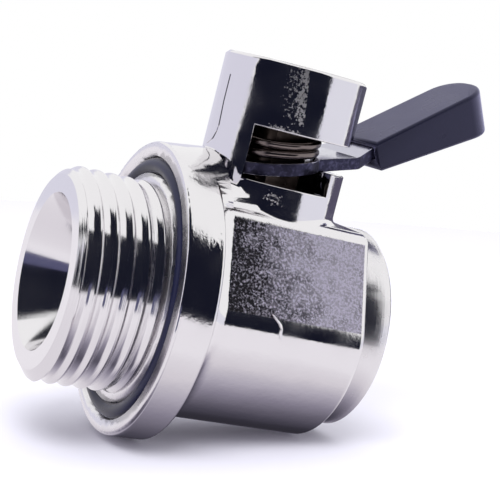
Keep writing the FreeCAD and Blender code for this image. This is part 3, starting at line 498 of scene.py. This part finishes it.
def finish_piece(name, bm, materials, body, replaced=(), sharp_from=35):
    """Make a bmesh a piece that rides on a body; its edges past sharp_from degrees stay sharp."""
    bmesh.ops.recalc_face_normals(bm, faces=bm.faces[:])
    mesh = mesh_from(bm, name)
    for material in materials:
        mesh.materials.append(material)
    mesh.shade_smooth()
    mesh.set_sharp_from_angle(angle=math.radians(sharp_from))
    piece = new_object(name, mesh)
    even = piece.modifiers.new("even_normals", "WEIGHTED_NORMAL")
    even.mode = "FACE_AREA"
    even.keep_sharp = True
    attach(piece, body)
    if replaced:
        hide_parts(*replaced)
    return piece


def sharp_edges(bm, angle=SHARP):
    """The edges where two faces meet at more than an angle."""
    return [edge for edge in bm.edges if len(edge.link_faces) == 2 and edge.calc_face_angle() > angle]


def round_edges(bm, edges, offset, segments=2):
    """Round some edges of a mesh."""
    bmesh.ops.bevel(bm, geom=edges, offset=offset, offset_type="OFFSET", segments=segments, profile=0.5,
                    affect="EDGES", clamp_overlap=True, material=-1)


def smooth_copy(node, name, materials, edge=0.0, sharp_from=35):
    """Stand a smoothly shaded copy in for a CAD node; a second material goes on its upright faces."""
    bm = merged_copy(node)
    if edge:
        round_edges(bm, sharp_edges(bm), edge)
    if len(materials) > 1:
        bm.normal_update()
        for face in bm.faces:
            face.material_index = int(abs(face.normal.z) < UPRIGHT)
    body = body_of(frame["nodes"][node])[0]
    return finish_piece(name, bm, materials, body, [node], sharp_from)


def dress(node, material):
    """Give a CAD node that stays a material."""
    slots = frame["nodes"][node].material_slots
    for slot in slots:
        slot.material = material
    if not slots:
        frame["nodes"][node].data.materials.append(material)


def thread_wall(bm, crest, depth, pitch, start, end, steps):
    """Screw a thread's outline round X; a negative depth cuts outwards, as in a nut."""
    turns = math.ceil((end - start) / pitch) + 2
    wire(bm, [(start + (turn - 1 + run) * pitch, 0, crest - depth * (1 - lift))
              for turn in range(turns) for run, lift in THREAD_OUTLINE])
    bmesh.ops.spin(bm, geom=bm.verts[:] + bm.edges[:], cent=(0, 0, 0), axis=X_AXIS, angle=2 * math.pi,
                   steps=steps, dvec=(pitch / steps, 0, 0), use_duplicate=False)
    bmesh.ops.remove_doubles(bm, verts=bm.verts[:], dist=TOUCHING)
    for place, side in ((start, -1), (end, 1)):
        bmesh.ops.bisect_plane(bm, geom=bm.verts[:] + bm.edges[:] + bm.faces[:], dist=ON_PLANE,
                               plane_co=(place, 0, 0), plane_no=(side, 0, 0), clear_outer=True)


def rim_edges(bm, place):
    """The open edges of a mesh that lie in the plane across X at a place."""
    return [edge for edge in bm.edges if edge.is_boundary
            and all(abs(vert.co.x - place) < TOUCHING for vert in edge.verts)]


def draw_in(bm, edges, place, radius):
    """Extrude a rim to a new place and radius round X, and return the new rim."""
    made = bmesh.ops.extrude_edge_only(bm, edges=edges)["geom"]
    for vert in (item for item in made if isinstance(item, bmesh.types.BMVert)):
        reach = math.hypot(vert.co.y, vert.co.z)
        vert.co = (place, vert.co.y * radius / reach, vert.co.z * radius / reach)
    return [item for item in made if isinstance(item, bmesh.types.BMEdge) and item.is_boundary]


def bead(spots, width):
    """Draw a closed hexagonal bead out along level rings at spots."""
    bm = bmesh.new()
    bmesh.ops.create_circle(bm, segments=6, radius=width / 2, matrix=Matrix.Translation(spots[0]))
    rim = bm.edges[:]
    for here, there in zip(spots, spots[1:]):
        made = bmesh.ops.extrude_edge_only(bm, edges=rim)["geom"]
        rim = [item for item in made if isinstance(item, bmesh.types.BMEdge) and item.is_boundary]
        bmesh.ops.translate(bm, vec=there - here,
                            verts=[item for item in made if isinstance(item, bmesh.types.BMVert)])
    bmesh.ops.holes_fill(bm, edges=bm.edges[:])
    return bm


# Pieces
class VALVE_OT_forging(bpy.types.Operator):
    """Dress the plated forging and cut the thread on its spigot"""
    bl_idname = "valve.forging"
    bl_label = "Forging"

    def execute(self, context):
        sizes = context.scene.valve_forging
        skin = plated_forging("nickel_plated_cast_skin", sizes.plating, sizes.grain)
        self.casting(sizes, skin)
        self.spigot(sizes)
        flash = [STEM_AXIS + Matrix.Rotation(math.radians(bearing), 3, "Z") @ (X_AXIS * sizes.tower_radius)
                 + Z_AXIS * height * MM for bearing, height in FLASH_LINE]
        finish_piece("parting_flash", bead(flash, sizes.flash_width), [skin], "casting")
        burr = [Vector(place) * MM for place in BURR_LINE]
        finish_piece("plating_burr", bead(burr, sizes.burr_width), [skin], "casting")
        return {"FINISHED"}

    def casting(self, sizes, skin):
        """Round the forging's edges, cut it off at the spigot's root and part its three finishes."""
        bm = merged_copy("valve_body")
        round_edges(bm, self.window_edges(bm, sizes), sizes.window_edge)
        ridge = [edge for edge in sharp_edges(bm) if all(
            abs(vert.co.x - sizes.web_back) < NEARLY and vert.co.z > sizes.web_foot for vert in edge.verts)]
        round_edges(bm, ridge, sizes.web_edge, 3)
        bmesh.ops.bisect_plane(bm, geom=bm.verts[:] + bm.edges[:] + bm.faces[:], dist=ON_PLANE,
                               plane_co=(SPIGOT_ROOT, 0, 0), plane_no=(-1, 0, 0), clear_outer=True)
        bmesh.ops.bridge_loops(bm, edges=rim_edges(bm, SPIGOT_ROOT))
        # The rough flat's colour holds painted shade and painted glints
        rough_flat = cast_flat("nickel_plated_rough_flat", sizes.plating, sizes.grit)
        flange_face = turned_plating("nickel_plated_flange_face", sizes.plating, 0.26)
        finishes = [skin, rough_flat, flange_face]
        bm.normal_update()
        # The side flats lean inwards as they rise
        lean = math.atan2(sizes.foot_half_width - sizes.shoulder_half_width, sizes.flat_rise)
        for face in bm.faces:
            slope = Vector((0, math.copysign(math.cos(lean), face.normal.y), math.sin(lean)))
            middle = face.calc_center_median()
            if face.normal.dot(slope) > ON_FLAT and middle.x > sizes.flat_start:
                face.material_index = finishes.index(rough_flat)
            elif middle.x < sizes.flange_skim and all(
                    vert.co.yz.length < sizes.flange_turned for vert in face.verts):
                face.material_index = finishes.index(flange_face)
        finish_piece("forging", bm, finishes, "casting", ["valve_body"])

    def window_edges(self, bm, sizes):
        """The sharp outer edges of the lever's window and of the notch."""
        def on_wall(vert):
            reach = (vert.co - STEM_AXIS).xy.length
            between = sizes.window_foot < vert.co.z < sizes.window_top
            return between and abs(reach - sizes.tower_radius) < NEARLY
        return [edge for edge in sharp_edges(bm, WINDOW_SHARP) if all(on_wall(vert) for vert in edge.verts)]

    def spigot(self, sizes):
        """Screw the spigot's thread, taper its lead and draw the bore in from its end."""
        bm = bmesh.new()
        nose = -sizes.spigot_length
        thread_wall(bm, sizes.thread_radius, sizes.thread_depth, sizes.thread_pitch, nose, SPIGOT_ROOT,
                    sizes.thread_steps)
        slope = (sizes.thread_radius - sizes.spigot_end_radius) / sizes.spigot_lead
        for vert in bm.verts:
            reach = math.hypot(vert.co.y, vert.co.z)
            limit = sizes.spigot_end_radius + (vert.co.x - nose) * slope
            if reach > limit:
                vert.co.y *= limit / reach
                vert.co.z *= limit / reach
        inner = draw_in(bm, rim_edges(bm, nose), nose, sizes.mouth_radius)
        inner = draw_in(bm, inner, nose + sizes.mouth_depth, sizes.port_radius)
        draw_in(bm, inner, SPIGOT_ROOT, sizes.port_radius)
        bmesh.ops.bridge_loops(bm, edges=rim_edges(bm, SPIGOT_ROOT))
        # The thread's real tool marks don't show, so they are drawn 0.3 mm apart and 0.03 mm deep
        thread = turned_plating("nickel_plated_thread", sizes.plating, 0.12, 0.3 * MM, 0.03 * MM)
        mouth = turned_plating("nickel_plated_mouth", sizes.plating, 0.12)
        finishes = [thread, mouth]
        just_outside = sizes.spigot_end_radius + 0.05 * MM
        for face in bm.faces:
            if all(vert.co.yz.length < just_outside for vert in face.verts):
                face.material_index = finishes.index(mouth)
        finish_piece("threaded_spigot", bm, finishes, "casting", sharp_from=25)


class VALVE_OT_rings(bpy.types.Operator):
    """Make the flange O-ring and dress the small ones"""
    bl_idname = "valve.rings"
    bl_label = "O-rings"

    def execute(self, context):
        sizes = context.scene.valve_rings
        # Nitrile rubber from a mould: satin, nearly black, with a grain of 0.3 mm
        rubber = moulded("moulded_nitrile_rubber", sizes.rubber, 0.3 * MM, 0.3, 0.1, 0.26)
        bm = bmesh.new()
        centre = Vector((sizes.ring_section / 2 - sizes.ring_proud, 0, sizes.ring_radius))
        bmesh.ops.create_circle(bm, segments=sizes.section_steps, radius=sizes.ring_section / 2,
                                matrix=Matrix.Translation(centre) @ Matrix.Rotation(math.pi / 2, 4, "X"))
        bmesh.ops.spin(bm, geom=bm.verts[:] + bm.edges[:], cent=(0, 0, 0), axis=X_AXIS, angle=2 * math.pi,
                       steps=sizes.ring_steps, use_merge=True, use_duplicate=False)
        bmesh.ops.remove_doubles(bm, verts=bm.verts[:], dist=TOUCHING)
        finish_piece("flange_ring", bm, [rubber], "casting", ["flange_o_ring"], sharp_from=180)
        for node in ("retainer_o_ring", "lower_stem_o_ring", "upper_stem_o_ring"):
            dress(node, rubber)
        return {"FINISHED"}


class VALVE_OT_flow(bpy.types.Operator):
    """Dress the collar at the outlet, the ball and its seats"""
    bl_idname = "valve.flow"
    bl_label = "Collar, ball and seats"

    def execute(self, context):
        sizes = context.scene.valve_flow
        plating = context.scene.valve_forging.plating
        bm = merged_copy("outlet_retainer")
        end = sizes.collar_end - sizes.spanner_depth
        start = sizes.collar_end - sizes.outlet_depth
        bmesh.ops.bisect_plane(bm, geom=bm.verts[:] + bm.edges[:] + bm.faces[:], dist=ON_PLANE,
                               plane_co=(end, 0, 0), plane_no=(1, 0, 0))
        wall = [face for face in bm.faces if all(
            abs(math.hypot(vert.co.y, vert.co.z) - sizes.outlet_radius) < NEARLY
            and start - NEARLY < vert.co.x < end + NEARLY for vert in face.verts)]
        bmesh.ops.delete(bm, geom=wall, context="FACES")
        thread = bmesh.new()
        thread_wall(thread, sizes.outlet_radius, -sizes.outlet_thread, sizes.outlet_pitch, start, end,
                    sizes.outlet_steps)
        mesh = mesh_from(thread, "outlet_thread")
        bm.from_mesh(mesh)
        bpy.data.meshes.remove(mesh)
        for place in (start, end):
            bmesh.ops.bridge_loops(bm, edges=rim_edges(bm, place))
        # Real brushing marks don't show, so they are drawn 0.3 mm apart and 0.03 mm deep
        brushed = turned_plating("brushed_nickel_collar", plating, 0.24, 0.3 * MM, 0.03 * MM)
        finish_piece("outlet_collar", bm, [brushed], "casting", ["outlet_retainer"],
                     sharp_from=30)
        # The ball is polished until it seals, so it is the clearest mirror of all
        dress("ball", turned_plating("polished_nickel_ball", plating, 0.08))
        # Seats and washer are turned from PTFE: white, waxy and without gloss
        seat = moulded("turned_ptfe_seat", sizes.seat_colour, 0.4 * MM, 0.4, 0.1)
        for node in ("inlet_seat", "outlet_seat", "thrust_washer"):
            dress(node, seat)
        return {"FINISHED"}


class VALVE_OT_lever(bpy.types.Operator):
    """Dress the lever and its grip"""
    bl_idname = "valve.lever"
    bl_label = "Lever and grip"

    def execute(self, context):
        sizes = context.scene.valve_lever
        # A pressed plate, zinc plated: half bright faces, and dull dark sides where it was sheared, their
        # darkness partly painted shade on the upright faces
        plate = worn_steel("zinc_plated_steel_plate", sizes.lever_colour, 0.15)
        sheared_and_shaded = sheared_and_shaded_steel("sheared_and_shaded_steel_side", sizes.sheared_and_shaded_colour)
        smooth_copy("lever", "lever_plate", [plate, sheared_and_shaded], sizes.lever_edge)
        # Soft vinyl from a mould: nearly black, grained, with a bluish bloom along its rounded sides
        vinyl = moulded("moulded_vinyl_grip", sizes.grip_colour, sizes.grip_grain, 0.3, 0.25, 0.14, 0.5)
        smooth_copy("lever_grip", "vinyl_grip", [vinyl])
        return {"FINISHED"}


class VALVE_OT_spring(bpy.types.Operator):
    """Dress the stem, the spring and what holds it"""
    bl_idname = "valve.spring"
    bl_label = "Stem and spring"

    def execute(self, context):
        sizes = context.scene.valve_spring
        # Oiled spring steel: brownish, half bright, streaked by the oil
        steel = worn_steel("oiled_spring_steel", sizes.steel, 0.17)
        spring = smooth_copy("lever_spring", "wire_spring", [steel], sharp_from=60)
        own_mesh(spring)
        for node in ("spring_washer", "retaining_clip"):
            dress(node, steel)
        dress("stem", worn_steel("turned_stem_steel", sizes.stem, 0.35))
        return {"FINISHED"}


class VALVE_OT_stage(bpy.types.Operator):
    """Set the camera, the floor, the surroundings and the lamp"""
    bl_idname = "valve.stage"
    bl_label = "Stage"

    def execute(self, context):
        sizes = context.scene.valve_stage
        scene = context.scene
        scene.view_settings.view_transform = "Standard"
        self.set_camera(scene, sizes)
        self.lay_floor(scene, sizes)
        self.hang_screens(sizes)
        self.lay_painted_shadow_sheet(sizes)
        self.surroundings(scene, sizes)
        self.hang_lamp(sizes)
        return {"FINISHED"}

    def set_camera(self, scene, sizes):
        """Look at the valve as the photograph does."""
        data = bpy.data.cameras.new("camera")
        data.lens = sizes.lens
        data.shift_y = -0.002
        data.clip_start = 0.01
        camera = new_object("camera", data)
        camera.location = sizes.camera_place
        camera.rotation_euler = sizes.camera_turn
        scene.camera = camera

    def lay_floor(self, scene, sizes):
        """Lay the floor under the valve's lowest point."""
        up = Vector(sizes.floor_up).normalized()
        lowest = min(up.dot(vert.co) for piece in scene.objects if piece.type == "MESH"
                     for vert in piece.data.vertices)
        bm = bmesh.new()
        turn = Z_AXIS.rotation_difference(up).to_matrix().to_4x4()
        bmesh.ops.create_circle(bm, cap_ends=True, segments=96, radius=sizes.floor_radius,
                                matrix=Matrix.Translation(up * lowest) @ turn)
        floor = new_object("floor", mesh_from(bm, "floor"))
        floor.data.materials.append(self.floor_material(sizes))
        floor.visible_glossy = False

    def floor_material(self, sizes):
        """Pale card: it takes the shadow, glows up to white and can't be seen from below."""
        material, tree = new_material("pale_card")
        diffuse = add_node(tree, "BsdfDiffuse", {"Color": sizes.floor_colour})
        glow = add_node(tree, "Emission", {"Color": sizes.glow_colour, "Strength": sizes.floor_glow})
        both = add_node(tree, "AddShader", [diffuse, glow])
        clear = add_node(tree, "BsdfTransparent")
        behind = add_node(tree, "NewGeometry").outputs["Backfacing"]
        shown = add_node(tree, "MixShader", [behind, both, clear])
        add_node(tree, "OutputMaterial", [shown])
        return material

    def hang_card(self, name, bm, material, tree, tone):
        """Put up a card that only reflections show; tone is a colour, or the node that gives it."""
        shine = add_node(tree, "Emission", {"Color": tone, "Strength": 1.0})
        add_node(tree, "OutputMaterial", [shine])
        card = new_object(name, mesh_from(bm, name))
        card.data.materials.append(material)
        card.visible_camera = False
        card.visible_diffuse = False
        card.visible_shadow = False

    def hang_screens(self, sizes):
        """Hang upright screens round the tower, turned from the camera's own bearing."""
        camera = Vector(sizes.camera_place) - STEM_AXIS
        bearing = math.degrees(math.atan2(camera.y, camera.x))
        for name, (share, first, last, low, high, code) in SCREENS.items():
            reach = X_AXIS * sizes.screen_reach * share
            start = STEM_AXIS + Matrix.Rotation(math.radians(bearing + first), 3, "Z") @ reach
            bm = bmesh.new()
            wire(bm, [start + Z_AXIS * low * MM, start + Z_AXIS * high * MM])
            bmesh.ops.spin(bm, geom=bm.verts[:] + bm.edges[:], cent=STEM_AXIS, axis=Z_AXIS,
                           angle=math.radians(last - first), steps=40, use_duplicate=False)
            material, tree = new_material(name)
            self.hang_card(name, bm, material, tree, linear(code))

    def lay_painted_shadow_sheet(self, sizes):
        """Lay a glowing sheet that only reflections show, with a painted shadow: dark under the valve, then
        white.
        """
        material, tree = new_material("painted_shadow_sheet")
        place = add_node(tree, "TexCoord").outputs["Object"]
        split = add_node(tree, "SeparateXYZ", [place])
        along = split.outputs["X"]
        across = split.outputs["Y"]
        # How far out a point is: along X before the flange and beyond the outlet, and to both sides
        before = add_node(tree, "MapRange", [along, 3.2 * MM, -1.8 * MM, 0, 1.2])
        beyond = add_node(tree, "MapRange", [along, 32 * MM, 60 * MM, 0, 1.5])
        ends = add_node(tree, "Math", [before, beyond], operation="ADD")
        side = add_node(tree, "MapRange", [across, -47 * MM, 49 * MM, -1.6, 1.6])
        both = add_node(tree, "CombineXYZ", [ends, side])
        away = add_node(tree, "VectorMath", [both], operation="LENGTH").outputs["Value"]
        # Under the spigot the painted shadow is narrower, and lies nearer to the far side
        nearer = add_node(tree, "MapRange", [across, -12 * MM, -34 * MM, 0.3, 0.88])
        farther = add_node(tree, "MapRange", [across, -12 * MM, 10 * MM, 0, 1.1])
        beside = add_node(tree, "Math", [nearer, farther], operation="ADD")
        behind = add_node(tree, "MapRange", [along, 1.5 * MM, -1 * MM, 0, 1])
        within = add_node(tree, "MapRange", [along, -13 * MM, -8 * MM, 0, 1])
        under = add_node(tree, "Math", [behind, within], operation="MULTIPLY")
        shade = add_node(tree, "Mix", {"Factor": under, 2: away, 3: beside})
        share = add_node(tree, "MapRange", [shade, 0, 1.6, 0, 1])
        # The painted shadow's tones, from under the valve outwards
        level = add_node(tree, "ValToRGB", [share])
        ramp = level.color_ramp.elements
        while len(ramp) < len(PAINTED_SHADOW_TONES):
            ramp.new(0.5)
        for stop, (where, code) in zip(ramp, PAINTED_SHADOW_TONES):
            stop.position = where
            stop.color = linear(code)
        bm = bmesh.new()
        below = Matrix.Translation((0, 0, cad_box[0].z - sizes.sheet_gap))
        bmesh.ops.create_circle(bm, cap_ends=True, segments=64, radius=sizes.sheet_radius, matrix=below)
        self.hang_card("painted_shadow_sheet", bm, material, tree, level)

    def surroundings(self, scene, sizes):
        """White all round for the camera and for reflections; as light, brighter from above."""
        world = bpy.data.worlds.new("studio")
        scene.world = world
        world.use_nodes = True
        tree = world.node_tree
        tree.nodes.clear()
        path = add_node(tree, "LightPath").outputs
        seen = add_node(tree, "Math", [path["Is Camera Ray"], path["Is Glossy Ray"]], operation="MAXIMUM")
        seen = add_node(tree, "Math", [seen, path["Is Transmission Ray"]], operation="MAXIMUM")
        place = add_node(tree, "TexCoord").outputs["Generated"]
        up = add_node(tree, "SeparateXYZ", [place]).outputs["Z"]
        light = add_node(tree, "MapRange", [up, 0, 1, sizes.ambient * LIGHT_FROM_SIDE,
                                            sizes.ambient * LIGHT_FROM_ABOVE])
        strength = add_node(tree, "Mix", {"Factor": seen, 2: light, 3: 1.0})
        sky = add_node(tree, "Background", {"Color": (1, 1, 1, 1), "Strength": strength})
        add_node(tree, "OutputWorld", [sky])

    def hang_lamp(self, sizes):
        """Hang a soft square lamp that points at the valve."""
        data = bpy.data.lights.new("key_lamp", "AREA")
        data.size = sizes.key_size
        data.energy = sizes.key
        lamp = new_object("key_lamp", data)
        lamp.location = sizes.key_place
        away = Vector(sizes.key_place) - Vector(sizes.key_aim)
        lamp.rotation_euler = away.to_track_quat("Z", "Y").to_euler()
        lamp.visible_glossy = False


class VALVE_PT_panel(bpy.types.Panel):
    """Lists the valve's pieces and their settings"""
    bl_label = "Drain valve"
    bl_idname = "VALVE_PT_panel"
    bl_space_type = "VIEW_3D"
    bl_region_type = "UI"
    bl_category = "Drain valve"

    def draw(self, context):
        for step in SETTINGS:
            box = self.layout.box()
            box.operator("valve." + step)
            settings = getattr(context.scene, "valve_" + step)
            for prop in settings.bl_rna.properties:
                if prop.identifier not in ("name", "rna_type"):
                    box.prop(settings, prop.identifier)


# Each operator's name, in the order of work, with its settings
SETTINGS = {
    "forging": ForgingSettings,
    "rings": RingSettings,
    "flow": FlowSettings,
    "lever": LeverSettings,
    "spring": SpringSettings,
    "stage": StageSettings,
}
CLASSES = [*SETTINGS.values(), VALVE_OT_forging, VALVE_OT_rings, VALVE_OT_flow, VALVE_OT_lever,
           VALVE_OT_spring, VALVE_OT_stage, VALVE_PT_panel]


def register():
    """Register the classes and give the scene its settings."""
    for cls in CLASSES:
        bpy.utils.register_class(cls)
    for step, settings in SETTINGS.items():
        setattr(bpy.types.Scene, "valve_" + step, PointerProperty(type=settings))


def unregister():
    """Take the settings and the classes away again."""
    for step in SETTINGS:
        delattr(bpy.types.Scene, "valve_" + step)
    for cls in reversed(CLASSES):
        bpy.utils.unregister_class(cls)


def main():
    """Make every piece and the stage in order."""
    register()
    for step in SETTINGS:
        getattr(bpy.ops.valve, step)()


if __name__ == "__main__":
    main()
